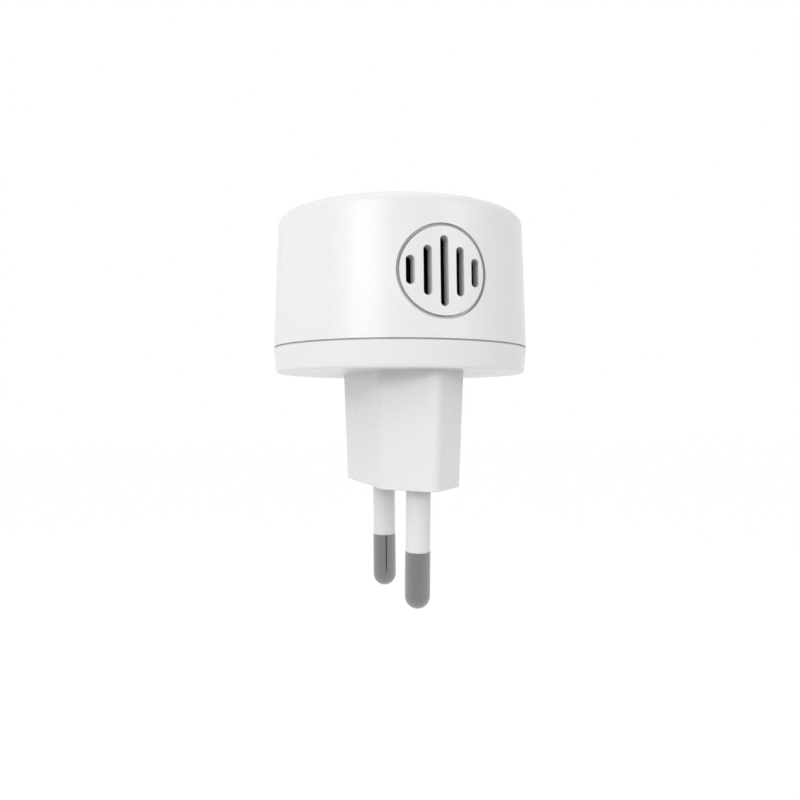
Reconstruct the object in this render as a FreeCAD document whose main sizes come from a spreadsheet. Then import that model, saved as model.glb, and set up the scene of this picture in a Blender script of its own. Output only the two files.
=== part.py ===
"""A round plug-in ultrasonic pest repeller on a two-pin Euro plug, in millimetres.

The origin is the centre of the plug's end face. +Z points away from the wall, the two pins stand
side by side along Y and point to -Z, and the grille faces -Y.
"""
import FreeCAD, Part
import math
import os
import re
import Sketcher
from FreeCAD import Placement, Rotation, Vector

SIZES = {
    # Housing: a drum of two mouldings, widest at the seam between them.
    "seam_radius": 20.95,
    "drum_taper": 0.71,
    "rim_taper": 0.35,
    "underside_height": 18.18,
    "seam_height": 22.28,
    "overall_height": 43.68,
    "seam_gap": 0.28,
    "seam_depth": 0.4,
    "shell_wall": 1.6,
    "top_rounding": 1.5,
    "underside_rounding": 0.6,
    "lip_height": 2.0,
    "lip_wall": 1.1,
    "lip_clearance": 0.15,
    "lip_notch_clearance": 0.4,
    "bead_radius": 0.35,
    "bead_height": 1.1,
    "bead_clearance": 0.12,
    # Plug body: a long hexagon seen from the pins, drafted out towards the housing.
    "plug_apex": 17.69,
    "plug_flat": 10.71,
    "plug_half_width": 6.44,
    "plug_draft": 2.05,
    "plug_flat_rounding": 2.0,
    "plug_apex_rounding": 1.4,
    "plug_edge_rounding": 0.25,
    "plug_wall": 1.5,
    "plug_end_wall": 1.8,
    # Pins: spacing at the end face and at the tips, so that both lean in.
    "pin_spacing": 18.6,
    "pin_tip_spacing": 17.5,
    "pin_length": 19.0,
    "pin_radius": 2.0,
    "pin_shank_radius": 1.35,
    "pin_flange_radius": 2.9,
    "pin_flange_thickness": 1.2,
    "pin_flange_clearance": 0.3,
    "pin_tail_radius": 1.3,
    "pin_tail_length": 3.2,
    "pin_cup_clearance": 0.15,
    "pin_cup_depth": 2.2,
    "sleeve_length": 10.0,
    "sleeve_inset": 0.09,
    "sleeve_taper": 0.03,
    "sleeve_clearance": 0.05,
    "pin_hole_clearance": 0.13,
    # Plate that holds the pins' flanges down, on two screws.
    "retainer_thickness": 1.5,
    "retainer_clearance": 0.4,
    "retainer_gap": 0.2,
    "retainer_screw_offset": 3.4,
    "retainer_boss_radius": 2.0,
    "screw_radius": 0.95,
    "screw_hole_clearance": 0.1,
    "screw_length": 3.8,
    "screw_head_radius": 1.7,
    "screw_head_height": 1.0,
    "screw_recess_width": 0.5,
    "screw_recess_length": 2.0,
    "screw_recess_depth": 0.5,
    "screw_crown": 0.6,
    # Grille insert, flush with the drum and held by a flange behind the wall.
    "grille_height": 32.1,
    "grille_radius": 6.47,
    "grille_groove": 0.5,
    "grille_groove_depth": 0.6,
    "grille_hole_clearance": 0.06,
    "grille_flange_lap": 0.87,
    "grille_flange_clearance": 0.05,
    "grille_depth": 3.72,
    "grille_web": 1.9,
    "grille_rim_wall": 0.37,
    "slot_width": 1.25,
    "slot_pitch": 2.49,
    "slot_length_long": 10.24,
    "slot_length_step": 3.02,
    "cloth_inset": 0.1,
    "cloth_thickness": 0.25,
    "cloth_clearance": 0.1,
    # Ultrasonic transducer, on the grille's axis, in a rubber sleeve in the cover's collar.
    "transducer_gap": 0.2,
    "case_radius": 6.35,
    "case_length": 9.5,
    "case_wall": 0.45,
    "case_mouth_radius": 5.3,
    "screen_inset": 0.1,
    "screen_thickness": 0.25,
    "screen_hole_radius": 0.42,
    "screen_hole_pitch": 1.55,
    "cone_mouth_radius": 4.2,
    "cone_neck_radius": 0.8,
    "cone_height": 2.6,
    "cone_wall": 0.35,
    "cone_depth": 1.6,
    "piezo_radius": 4.0,
    "piezo_thickness": 0.75,
    "disc_gap": 0.08,
    "transducer_base_thickness": 2.0,
    "transducer_base_inset": 0.5,
    "transducer_base_clearance": 0.08,
    "pedestal_radius": 1.2,
    "terminal_radius": 0.35,
    "terminal_spacing": 5.08,
    "terminal_length": 5.6,
    "holder_wall": 0.95,
    "holder_clearance": 0.15,
    "holder_back_thickness": 0.6,
    "holder_back_radius": 4.6,
    "collar_wall": 1.0,
    "collar_length": 8.7,
    "collar_headroom": 0.2,
    # Round main board on two posts, and the heights above it.
    "board_clearance": 0.5,
    "moulding_rounding": 0.4,
    "chip_rounding": 0.12,
    "varistor_rounding": 0.9,
    "board_thickness": 1.2,
    "board_post_height": 1.0,
    "board_post_radius": 2.4,
    "board_screw_offset": 14.6,
    "board_screw_length": 2.8,
    "tail_below_board": 0.7,
    "leg_root": 0.3,
    "leg_hole_clearance": 0.1,
    "leg_radius": 0.3,
    # Leads.
    "mains_lead_radius": 0.7,
    "signal_lead_radius": 0.45,
    "lead_bend_share": 0.45,
    "signal_lead_run": 2.4,
    "signal_lead_reach": 4.32,
    "mains_lead_shift": 1.6,
    "mains_lead_rise": 5.0,
    # Parts on the board: place, size and height of each.
    "dropper_y": 11.2,
    "dropper_length": 13.0,
    "dropper_width": 5.6,
    "dropper_height": 12.0,
    "dropper_pitch": 10.0,
    "bulk_x": -8.6,
    "bulk_y": 2.9,
    "bulk_radius": 4.0,
    "bulk_height": 12.0,
    "bulk_neck_height": 1.6,
    "bulk_neck_depth": 0.35,
    "bulk_pitch": 3.5,
    "varistor_x": -10.4,
    "varistor_y": 10.6,
    "varistor_radius": 3.4,
    "varistor_thickness": 3.2,
    "varistor_stand": 1.6,
    "varistor_pitch": 5.0,
    "fuse_x": 11.0,
    "fuse_y": 7.6,
    "fuse_radius": 1.5,
    "fuse_cap_radius": 1.7,
    "fuse_length": 7.5,
    "fuse_cap_length": 1.4,
    "fuse_stand": 0.3,
    "fuse_pitch": 9.6,
    "bridge_x": 10.6,
    "bridge_y": -3.6,
    "bridge_length": 4.7,
    "bridge_width": 3.9,
    "bridge_height": 2.4,
    "bridge_foot_reach": 0.9,
    "bridge_foot_width": 0.65,
    "bridge_foot_pitch": 2.6,
    "zener_x": 0.0,
    "zener_ahead": 4.7358,
    "zener_radius": 0.95,
    "zener_length": 4.0,
    "zener_pitch": 7.0,
    "zener_stand": 0.2,
    "chip_y": 4.5,
    "chip_length": 8.65,
    "chip_width": 3.9,
    "chip_height": 1.5,
    "chip_lead_pitch": 1.27,
    "chip_lead_width": 0.4,
    "chip_lead_reach": 1.05,
    "chip_lead_foot": 0.5,
    "chip_lead_thickness": 0.22,
    "transistor_x": 7.2,
    "transistor_y": 3.4,
    "transistor_spacing": 5.0,
    "transistor_radius": 2.3,
    "transistor_flat": 1.3,
    "transistor_height": 4.6,
    "transistor_stand": 1.8,
    "transistor_pitch": 1.27,
    "coil_x": -12.4,
    "coil_y": -5.0,
    "coil_flange_radius": 3.1,
    "coil_core_radius": 1.5,
    "coil_height": 7.0,
    "coil_flange_thickness": 0.9,
    "coil_winding_radius": 2.7,
    "coil_clearance": 0.05,
    "coil_pitch": 3.5,
    "output_x": 12.0,
    "output_y": -7.9,
    "output_length": 5.2,
    "output_width": 2.5,
    "output_height": 5.5,
    "output_pitch": 2.5,
    "small_part_length": 1.6,
    "small_part_width": 0.8,
    "small_part_height": 0.45,
    "small_part_pitch_across": 2.9,
    "small_part_pitch_along": 1.9,
    "small_part_start": 3.6,
    # Power light: a lamp on the board under a clear guide in the cover's top.
    "led_radius": 1.5,
    "led_height": 3.4,
    "led_flange_radius": 1.8,
    "led_flange_height": 0.6,
    "led_stand": 1.2,
    "led_pitch": 1.27,
    "guide_radius": 1.5,
    "guide_clearance": 0.05,
    "guide_flange_radius": 2.4,
    "guide_flange_thickness": 0.8,
    "guide_gap": 0.4,
}

document = FreeCAD.newDocument("repeller")
sheet = document.addObject("Spreadsheet::Sheet", "Sizes")
for row, (alias, size) in enumerate(SIZES.items(), start=1):
    sheet.set(f"A{row}", alias)
    sheet.set(f"B{row}", str(size))
    sheet.setAlias(f"B{row}", alias)
document.recompute()

# Levels and distances that several pieces share, written from the driving sizes.
COVER_FOOT = "(seam_height + seam_gap / 2)"
BASE_SHOULDER = "(seam_height - seam_gap / 2)"
CEILING = "(overall_height - shell_wall)"
FLOOR = "(underside_height + shell_wall)"
LIP_RADIUS = "(seam_radius - shell_wall - lip_clearance)"
LIP_TOP = "(seam_height + lip_height)"
LIP_INSIDE = f"({LIP_RADIUS} - lip_wall)"
BEAD_LEVEL = "(seam_height + bead_height)"
BOARD_UNDER = f"({FLOOR} + board_post_height)"
BOARD_TOP = f"({BOARD_UNDER} + board_thickness)"
BOARD_RADIUS = f"({LIP_INSIDE} - board_clearance)"
TOP_RADIUS = "(seam_radius - drum_taper)"
UNDERSIDE_RADIUS = "(seam_radius - rim_taper)"
DRUM_SLOPE = "(drum_taper / (overall_height - seam_height))"
GRILLE_FACE = f"(seam_radius - {DRUM_SLOPE} * (grille_height - seam_height))"
GRILLE_BACK = f"({GRILLE_FACE} - grille_depth)"
RECESS_FLOOR = f"({GRILLE_FACE} - grille_web)"
TRANSDUCER_FRONT = f"({GRILLE_BACK} - transducer_gap)"
COLLAR_BACK = f"({GRILLE_BACK} - collar_length)"
SLEEVE_RADIUS = "(pin_radius - sleeve_inset)"
CUP_RADIUS = "(mains_lead_radius + pin_cup_clearance)"
SCREW_HOLE = "(screw_radius + screw_hole_clearance)"
CASE_BORE = "(case_radius - case_wall)"
RECESS_RADIUS = "(grille_radius - grille_rim_wall)"
GRILLE_HOLE_RADIUS = "(grille_radius + grille_hole_clearance)"
GRILLE_FLANGE_RADIUS = f"({GRILLE_HOLE_RADIUS} + grille_flange_lap)"
SLEEVED_RADIUS = "(case_radius + holder_clearance + holder_wall)"
COLLAR_INSIDE = f"(max({SLEEVED_RADIUS}; {GRILLE_FLANGE_RADIUS}) + holder_clearance)"
COLLAR_OUTSIDE = f"({COLLAR_INSIDE} + collar_wall)"
HOLDER_RADIUS = f"({COLLAR_INSIDE} - holder_clearance)"
PIN_SLOPE = "((pin_spacing - pin_tip_spacing) / 2 / pin_length)"
PIN_LEAN = f"atan({PIN_SLOPE})"
FLANGE_SEAT = "(plug_end_wall + pin_flange_clearance)"
RETAINER_UNDER = f"({FLANGE_SEAT} + pin_flange_thickness + retainer_gap)"
RETAINER_TOP = f"({RETAINER_UNDER} + retainer_thickness)"
PIEZO_FRONT = "(cone_depth + cone_height + disc_gap)"
PIEZO_BACK = f"({PIEZO_FRONT} + piezo_thickness)"
TRANSDUCER_BASE_BACK = "(case_length - transducer_base_inset)"
TRANSDUCER_BASE_FRONT = f"({TRANSDUCER_BASE_BACK} - transducer_base_thickness)"
TERMINAL_END = f"(-{TRANSDUCER_FRONT} + {TRANSDUCER_BASE_FRONT} - disc_gap + terminal_length)"
SIGNAL_LANDING = f"({TERMINAL_END} + signal_lead_reach)"
ZENER_Y = f"({SIGNAL_LANDING} - zener_ahead)"
SMALL_PARTS_TOP = f"({BOARD_TOP} + small_part_height)"

TOUCH = 1e-4

parts = []


def linked(expression):
    """The expression with every size named as a cell of the sheet."""
    return re.sub(r"[a-z_]+", lambda word: f"Sizes.{word[0]}" if word[0] in SIZES else word[0], expression)


def value(expression):
    """What the expression comes to, as a plain number."""
    result = sheet.evalExpression(linked(expression))
    return float(getattr(result, "Value", result))


def bind(thing, **sizes):
    """Tie each property of the object to its expression."""
    for name, expression in sizes.items():
        thing.setExpression(name, linked(expression))
    return thing


def place(thing, x="0", y="0", z="0", axis=(0, 0, 1), angle="0"):
    """Put the object at x, y, z, turned about the axis."""
    thing.Placement = Placement(Vector(value(x), value(y), value(z)), Rotation(Vector(*axis), value(angle)))
    for letter, expression in zip("xyz", (x, y, z)):
        thing.setExpression(f"Placement.Base.{letter}", linked(expression))
    if re.search("[a-z]", angle):
        thing.setExpression("Placement.Rotation.Angle", linked(angle))
    return thing


def part(thing, name):
    """Name the object as one finished piece."""
    thing.Label = name
    parts.append(thing)
    return thing


def cylinder(name, radius, height, **where):
    return place(bind(document.addObject("Part::Cylinder", name), Radius=radius, Height=height), **where)


def cone(name, foot_radius, head_radius, height, **where):
    thing = document.addObject("Part::Cone", name)
    return place(bind(thing, Radius1=foot_radius, Radius2=head_radius, Height=height), **where)


def sphere(name, radius, **where):
    return place(bind(document.addObject("Part::Sphere", name), Radius=radius), **where)


def torus(name, ring_radius, radius, **where):
    thing = document.addObject("Part::Torus", name)
    return place(bind(thing, Radius1=ring_radius, Radius2=radius), **where)


def block(name, length, width, height, x="0", y="0", z="0"):
    """A box centred on x and y that stands at z."""
    thing = bind(document.addObject("Part::Box", name), Length=length, Width=width, Height=height)
    return place(thing, x=f"{x} - ({length}) / 2", y=f"{y} - ({width}) / 2", z=z)


def fused(name, pieces):
    thing = document.addObject("Part::MultiFuse", name)
    thing.Shapes = pieces
    thing.Refine = True
    return thing


def common(name, pieces):
    thing = document.addObject("Part::MultiCommon", name)
    thing.Shapes = pieces
    return thing


def cut(name, base, tool):
    thing = document.addObject("Part::Cut", name)
    thing.Base = base
    thing.Tool = tool
    return thing


def group(name, pieces):
    thing = document.addObject("Part::Compound", name)
    thing.Links = pieces
    return thing


def mirrored(name, source, normal):
    thing = document.addObject("Part::Mirroring", name)
    thing.Source = source
    thing.Normal = Vector(*normal)
    return thing


def rounded(name, base, radius, chosen):
    """The base with the chosen edges rounded to the radius."""
    document.recompute()
    size = value(radius)
    numbers = [number for number, edge in enumerate(base.Shape.Edges, start=1) if chosen(edge)]
    thing = document.addObject("Part::Fillet", name)
    thing.Base = base
    thing.Edges = [(number, size, size) for number in numbers]
    return thing


def level(edge, height):
    """True where the whole edge lies at that height."""
    box = edge.BoundBox
    return abs(box.ZMin - height) < TOUCH and abs(box.ZMax - height) < TOUCH


def upright(edge):
    """True where the edge runs mostly up and down."""
    box = edge.BoundBox
    return box.ZLength > max(box.XLength, box.YLength)


def plane(body, role):
    return next(feature for feature in body.Origin.OriginFeatures if feature.Role == role)


def sketch(body, name, role, height="0"):
    """An empty sketch on one of the body's own planes, lifted along its normal."""
    drawing = body.newObject("Sketcher::SketchObject", name)
    drawing.AttachmentSupport = (plane(body, role), [""])
    drawing.MapMode = "FlatFace"
    drawing.AttachmentOffset = Placement(Vector(0, 0, value(height)), Rotation())
    drawing.setExpression("AttachmentOffset.Base.z", linked(height))
    return drawing


def fix(drawing, kind, expression, *where):
    """One dimension of the sketch, tied to its expression."""
    number = drawing.addConstraint(Sketcher.Constraint(kind, *where, value(expression)))
    drawing.setExpression(f"Constraints[{number}]", linked(expression))


def draw_outline(drawing, corners):
    """A closed outline of straight edges through corners given as pairs of expressions."""
    points = [Vector(value(across), value(up), 0) for across, up in corners]
    first = drawing.GeometryCount
    count = len(points)
    for number, point in enumerate(points):
        drawing.addGeometry(Part.LineSegment(point, points[(number + 1) % count]))
    for number in range(count):
        following = first + (number + 1) % count
        drawing.addConstraint(Sketcher.Constraint("Coincident", first + number, 2, following, 1))
    for number, (across, up) in enumerate(corners):
        fix(drawing, "DistanceX", across, -1, 1, first + number, 1)
        fix(drawing, "DistanceY", up, -1, 1, first + number, 1)


def draw_circle(drawing, radius, across="0", up="0"):
    centre = Vector(value(across), value(up), 0)
    number = drawing.addGeometry(Part.Circle(centre, Vector(0, 0, 1), value(radius)))
    fix(drawing, "Radius", radius, number)
    fix(drawing, "DistanceX", across, -1, 1, number, 3)
    fix(drawing, "DistanceY", up, -1, 1, number, 3)


def extruded(body, name, kind, drawing, length, **settings):
    """A Pad or Pocket of the drawing."""
    feature = body.newObject(f"PartDesign::{kind}", name)
    feature.Profile = drawing
    bind(feature, Length=length)
    for setting, choice in settings.items():
        setattr(feature, setting, choice)
    return feature


def turned(body, name, corners):
    """A profile of radius and height pairs, turned about the body's Z axis."""
    drawing = sketch(body, f"{name}_profile", "XZ_Plane")
    draw_outline(drawing, corners)
    feature = body.newObject("PartDesign::Revolution", name)
    feature.Profile = drawing
    feature.ReferenceAxis = (drawing, ["V_Axis"])
    feature.Angle = 360
    return feature


def turned_body(name, corners):
    body = document.addObject("PartDesign::Body", name)
    turned(body, f"{name}_turning", corners)
    return body


def hexagon(inset):
    """The plug's outline, drawn in by the inset: flats along Y, an apex at each end."""
    slant = "sqrt((plug_apex - plug_flat)^2 + plug_half_width^2)"
    width = f"(plug_half_width - {inset})"
    apex = f"(plug_apex - {inset} * {slant} / plug_half_width)"
    flat = f"({apex} - {width} * (plug_apex - plug_flat) / plug_half_width)"
    return [
        (f"-{width}", f"-{flat}"),
        ("0", f"-{apex}"),
        (width, f"-{flat}"),
        (width, flat),
        ("0", apex),
        (f"-{width}", flat),
    ]


def skin(name, depth):
    """The drum's cone drawn in to a depth below its outer surface."""
    height = f"overall_height - {COVER_FOOT}"
    return cone(name, f"seam_radius - {depth}", f"{TOP_RADIUS} - {depth}", height, z=COVER_FOOT)


def grille_rod(name, radius, length, forward):
    """A rod along the grille's axis that starts forward of the axis of the drum."""
    return on_grille_axis(cylinder(name, radius, length), forward)


def on_grille_axis(thing, forward="0"):
    """Turn a piece built along Z to point at the grille, with its zero forward of the axis of the drum."""
    return place(thing, y=f"-({forward})", z="grille_height", axis=(1, 0, 0), angle="90")


def round_off(body, name, radius, chosen):
    """Round the chosen edges of the body's last feature."""
    document.recompute()
    tip = body.Tip
    names = [f"Edge{number}" for number, edge in enumerate(tip.Shape.Edges, start=1) if chosen(edge)]
    feature = body.newObject("PartDesign::Fillet", name)
    feature.Base = (tip, names)
    return bind(feature, Radius=radius)


# Cover: a drafted drum with a rounded top, open below.
drum = skin("drum", "0")
drum_top = value("overall_height")
drum_rounded = rounded("drum_rounded", drum, "top_rounding", lambda edge: level(edge, drum_top))
hollow = cone(
    "hollow",
    "seam_radius - shell_wall",
    f"{TOP_RADIUS} - shell_wall + {DRUM_SLOPE} * shell_wall",
    f"{CEILING} - {COVER_FOOT}",
    z=COVER_FOOT,
)
drum_shell = cut("drum_shell", drum_rounded, hollow)
wall_middle = skin("wall_middle", "shell_wall / 2")
collar_reach = f"{GRILLE_FACE} - {COLLAR_BACK}"
collar_tube = grille_rod("collar_tube", COLLAR_OUTSIDE, collar_reach, COLLAR_BACK)
over_board_foot = f"{SMALL_PARTS_TOP} + collar_headroom"
over_board = block("over_board", "seam_radius * 2", "seam_radius * 2", "overall_height", z=over_board_foot)
collar = common("collar", [collar_tube, wall_middle, over_board])
collar_rod = grille_rod("collar_rod", COLLAR_INSIDE, collar_reach, COLLAR_BACK)
collar_bore = common("collar_bore", [collar_rod, hollow])
grille_hole = grille_rod("grille_hole", GRILLE_HOLE_RADIUS, GRILLE_FACE, COLLAR_BACK)
groove_rod = grille_rod("groove_rod", "grille_radius + grille_groove", GRILLE_FACE, COLLAR_BACK)
groove = cut("groove", groove_rod, skin("groove_floor", "grille_groove_depth"))
guide_hole_foot = f"{CEILING} - shell_wall / 2"
guide_hole = cylinder("guide_hole", "guide_radius + guide_clearance", "shell_wall * 2", z=guide_hole_foot)
snap_groove = torus("snap_groove", LIP_RADIUS, "bead_radius + bead_clearance", z=BEAD_LEVEL)
cover_blank = fused("cover_blank", [drum_shell, collar])
cover = cover_blank
for opening in (collar_bore, grille_hole, groove, guide_hole, snap_groove):
    cover = cut(f"cover_less_{opening.Name}", cover, opening)
part(cover, "housing_cover")


# Base: the plug body and the rim dish in one moulding, hollow from above.
def base_moulding():
    body = document.addObject("PartDesign::Body", "base")
    plug_outline = sketch(body, "plug_outline", "XY_Plane")
    draw_outline(plug_outline, hexagon("0"))
    plug = extruded(body, "plug", "Pad", plug_outline, "underside_height + shell_wall / 2")
    bind(plug, TaperAngle="plug_draft")
    middle = value("plug_half_width") / 2
    corner = lambda edge: upright(edge) and abs(edge.BoundBox.XMin) > middle
    apex = lambda edge: upright(edge) and abs(edge.BoundBox.XMax) < TOUCH
    round_off(body, "plug_corners", "plug_flat_rounding", corner)
    round_off(body, "plug_apexes", "plug_apex_rounding", apex)
    round_off(body, "plug_end_edge", "plug_edge_rounding", lambda edge: level(edge, 0))
    turned(body, "rim_dish", [
        ("0", "underside_height"),
        (UNDERSIDE_RADIUS, "underside_height"),
        ("seam_radius", BASE_SHOULDER),
        ("seam_radius - seam_depth", BASE_SHOULDER),
        ("seam_radius - seam_depth", COVER_FOOT),
        (LIP_RADIUS, COVER_FOOT),
        (LIP_RADIUS, LIP_TOP),
        (LIP_INSIDE, LIP_TOP),
        (LIP_INSIDE, FLOOR),
        ("0", FLOOR),
    ])
    foot = value("underside_height")
    wide = value(UNDERSIDE_RADIUS)
    rim_foot = lambda edge: level(edge, foot) and edge.BoundBox.XLength > wide
    round_off(body, "rim_foot", "underside_rounding", rim_foot)
    hollow_outline = sketch(body, "hollow_outline", "XY_Plane", "plug_end_wall")
    draw_outline(hollow_outline, hexagon("plug_wall"))
    plug_hollow = extruded(body, "plug_hollow", "Pocket", hollow_outline, "overall_height", Reversed=True)
    bind(plug_hollow, TaperAngle="plug_draft")
    retainer_bosses = sketch(body, "retainer_bosses", "XY_Plane", "plug_end_wall")
    board_posts = sketch(body, "board_posts", "XY_Plane", FLOOR)
    for sign in ("-", ""):
        draw_circle(retainer_bosses, "retainer_boss_radius", up=f"{sign}retainer_screw_offset")
        draw_circle(board_posts, "board_post_radius", across=f"{sign}board_screw_offset")
    extruded(body, "retainer_boss_pad", "Pad", retainer_bosses, f"{RETAINER_UNDER} - plug_end_wall")
    extruded(body, "board_post_pad", "Pad", board_posts, "board_post_height")
    return body


def lean(thing, side, height="0"):
    """Stand the piece at that height on the leaning axis of the pin at +Y (side 1) or at -Y (side -1)."""
    sign = "" if side > 0 else "-"
    away = f"{sign}(pin_spacing / 2 + {PIN_SLOPE} * ({height}))"
    return place(thing, y=away, z=height, axis=(-side, 0, 0), angle=PIN_LEAN)


notch_radius = f"{COLLAR_OUTSIDE} + lip_notch_clearance"
base_tools = [grille_rod("lip_notch", notch_radius, f"seam_radius - {COLLAR_BACK}", COLLAR_BACK)]
pin_hole_radius = f"{SLEEVE_RADIUS} + sleeve_taper + pin_hole_clearance"
for side, sign in ((-1, "-"), (1, "")):
    pin_hole = cylinder(f"pin_hole_{side + 2}", pin_hole_radius, "plug_end_wall * 3")
    base_tools.append(lean(pin_hole, side, "-plug_end_wall"))
    base_tools.append(cylinder(
        f"retainer_screw_hole_{side + 2}", SCREW_HOLE, f"{RETAINER_UNDER} - plug_end_wall / 2",
        y=f"{sign}retainer_screw_offset", z="plug_end_wall / 2",
    ))
    base_tools.append(cylinder(
        f"board_screw_hole_{side + 2}", SCREW_HOLE, f"{BOARD_UNDER} - underside_height - shell_wall / 2",
        x=f"{sign}board_screw_offset", z="underside_height + shell_wall / 2",
    ))
snap_bead = torus("snap_bead", LIP_RADIUS, "bead_radius", z=BEAD_LEVEL)
base_shell = fused("base_with_bead", [base_moulding(), snap_bead])
for tool in base_tools:
    base_shell = cut(f"base_less_{tool.Name}", base_shell, tool)
part(base_shell, "base_shell")


# Pins, upright round Z with z = 0 at the plug's end face, then leaned.
def pin(name, side):
    flange_seat = FLANGE_SEAT
    shank_length = f"sleeve_length + {flange_seat}"
    metal_length = "pin_length - pin_radius - sleeve_length"
    tail_foot = f"{flange_seat} + pin_flange_thickness"
    cup_foot = f"{tail_foot} + pin_tail_length - pin_cup_depth"
    blank = fused(f"{name}_blank", [
        sphere(f"{name}_tip", "pin_radius", z="pin_radius - pin_length"),
        cylinder(f"{name}_metal", "pin_radius", metal_length, z="pin_radius - pin_length"),
        cylinder(f"{name}_shank", "pin_shank_radius", shank_length, z="-sleeve_length"),
        cylinder(f"{name}_flange", "pin_flange_radius", "pin_flange_thickness", z=flange_seat),
        cylinder(f"{name}_tail", "pin_tail_radius", "pin_tail_length", z=tail_foot),
    ])
    cup = cylinder(f"{name}_cup", CUP_RADIUS, "pin_tail_length", z=cup_foot)
    part(lean(cut(f"{name}_solid", blank, cup), side), name)
    tube_length = f"sleeve_length + {flange_seat} - sleeve_clearance"
    root_radius = f"{SLEEVE_RADIUS} + sleeve_taper"
    outside = cone(f"{name}_sleeve_outside", SLEEVE_RADIUS, root_radius, tube_length, z="-sleeve_length")
    bore_radius = "pin_shank_radius + sleeve_clearance"
    bore = cylinder(f"{name}_sleeve_bore", bore_radius, tube_length, z="-sleeve_length")
    part(lean(cut(f"{name}_sleeve_tube", outside, bore), side), f"{name}_sleeve")


pin("live_pin", 1)
pin("neutral_pin", -1)


# Retainer: a plate that follows the plug's inside, screwed down on the two bosses.
def retainer():
    body = document.addObject("PartDesign::Body", "retainer")
    outline = sketch(body, "retainer_outline", "XY_Plane", RETAINER_UNDER)
    draw_outline(outline, hexagon("(plug_wall + retainer_clearance)"))
    tail_away = f"pin_spacing / 2 + {PIN_SLOPE} * {RETAINER_UNDER}"
    for sign in ("-", ""):
        draw_circle(outline, "pin_tail_radius + retainer_clearance", up=f"{sign}({tail_away})")
        draw_circle(outline, SCREW_HOLE, up=f"{sign}retainer_screw_offset")
    extruded(body, "retainer_plate", "Pad", outline, "retainer_thickness")
    return body


def screw_pair(name, length, x="0", y="0", z="0", normal=(1, 0, 0)):
    """A pan-head screw with a cross recess, and its mirror image on the other side."""
    shank = cylinder(f"{name}_shank", "screw_radius", length, z=f"-({length})")
    head = cylinder(f"{name}_head", "screw_head_radius", "screw_head_height")
    blank = fused(f"{name}_blank", [shank, head])
    top = value("screw_head_height")
    crowned = rounded(f"{name}_crown", blank, "screw_crown", lambda edge: level(edge, top))
    depth = "screw_head_height - screw_recess_depth"
    recess = fused(f"{name}_recess", [
        block(f"{name}_arm_1", "screw_recess_length", "screw_recess_width", "screw_head_height", z=depth),
        block(f"{name}_arm_2", "screw_recess_width", "screw_recess_length", "screw_head_height", z=depth),
    ])
    first = place(cut(f"{name}_first", crowned, recess), x=x, y=y, z=z)
    part(group(f"{name}_pair", [first, mirrored(f"{name}_second", first, normal)]), name)


part(retainer(), "pin_retainer")
screw_pair("retainer_screws", "screw_length", y="retainer_screw_offset", z=RETAINER_TOP, normal=(0, 1, 0))


# Grille insert: a disc cut from the drum's own skin, a flange behind the wall, a flat back and five slots.
def grille():
    disc_depth = f"{GRILLE_FACE} * 2"
    behind = f"{GRILLE_BACK} - shell_wall"
    disc_rod = grille_rod("disc_rod", "grille_radius", disc_depth, GRILLE_BACK)
    flange_rod = grille_rod("flange_rod", GRILLE_FLANGE_RADIUS, disc_depth, GRILLE_BACK)
    recess_rod = grille_rod("recess_rod", RECESS_RADIUS, disc_depth, behind)
    disc = common("disc", [disc_rod, skin("disc_skin", "0")])
    flange = common("flange", [flange_rod, skin("flange_skin", "(shell_wall + grille_flange_clearance)")])
    recess = common("recess", [recess_rod, skin("recess_skin", "grille_web")])
    insert = cut("insert_recessed", fused("insert_blank", [disc, flange]), recess)
    for number in (-2, -1, 0, 1, 2):
        straight = f"(slot_length_long - {abs(number)} * slot_length_step - slot_width)"
        across = f"{number} * slot_pitch"
        name = f"slot_{number + 3}"
        ends = [
            grille_rod(f"{name}_end_{end + 2}", "slot_width / 2", disc_depth, behind)
            for end in (-1, 1)
        ]
        for end, rod in zip((-1, 1), ends):
            rod.setExpression("Placement.Base.x", linked(across))
            rod.setExpression("Placement.Base.z", linked(f"grille_height + {end} * {straight} / 2"))
        middle = document.addObject("Part::Box", name)
        bind(middle, Length="slot_width", Width=disc_depth, Height=straight)
        near = f"-({behind}) - {disc_depth}"
        place(middle, f"{across} - slot_width / 2", near, f"grille_height - {straight} / 2")
        insert = cut(f"insert_slot_{number + 3}", insert, fused(f"{name}_tool", [middle, *ends]))
    return insert


part(grille(), "grille_insert")
cloth_radius = f"({RECESS_RADIUS} - cloth_inset)"
cloth_front = f"(sqrt({RECESS_FLOOR}^2 - {cloth_radius}^2) - cloth_clearance)"
part(grille_rod("cloth", cloth_radius, "cloth_thickness", f"{cloth_front} - cloth_thickness"), "dust_cloth")


# Transducer: turned pieces on the grille's axis, z = 0 at the mouth and behind it below zero.
def on_mouth(thing, name):
    return part(on_grille_axis(thing, TRANSDUCER_FRONT), name)


on_mouth(turned_body("case", [
    ("case_mouth_radius", "0"),
    ("case_radius", "0"),
    ("case_radius", "-case_length"),
    (CASE_BORE, "-case_length"),
    (CASE_BORE, "-case_wall"),
    ("case_mouth_radius", "-case_wall"),
]), "transducer_case")


def screen():
    """A round sheet with rings of round holes."""
    body = document.addObject("PartDesign::Body", "screen")
    outline = sketch(body, "screen_outline", "XY_Plane", "-case_wall - disc_gap - screen_thickness")
    draw_circle(outline, f"{CASE_BORE} - screen_inset")
    draw_circle(outline, "screen_hole_radius")
    for ring in (1, 2, 3):
        for number in range(6 * ring):
            turn = 2 * math.pi * number / (6 * ring)
            across = f"screen_hole_pitch * {ring * math.cos(turn):.6f}"
            up = f"screen_hole_pitch * {ring * math.sin(turn):.6f}"
            draw_circle(outline, "screen_hole_radius", across, up)
    extruded(body, "screen_sheet", "Pad", outline, "screen_thickness")
    return body


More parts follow.
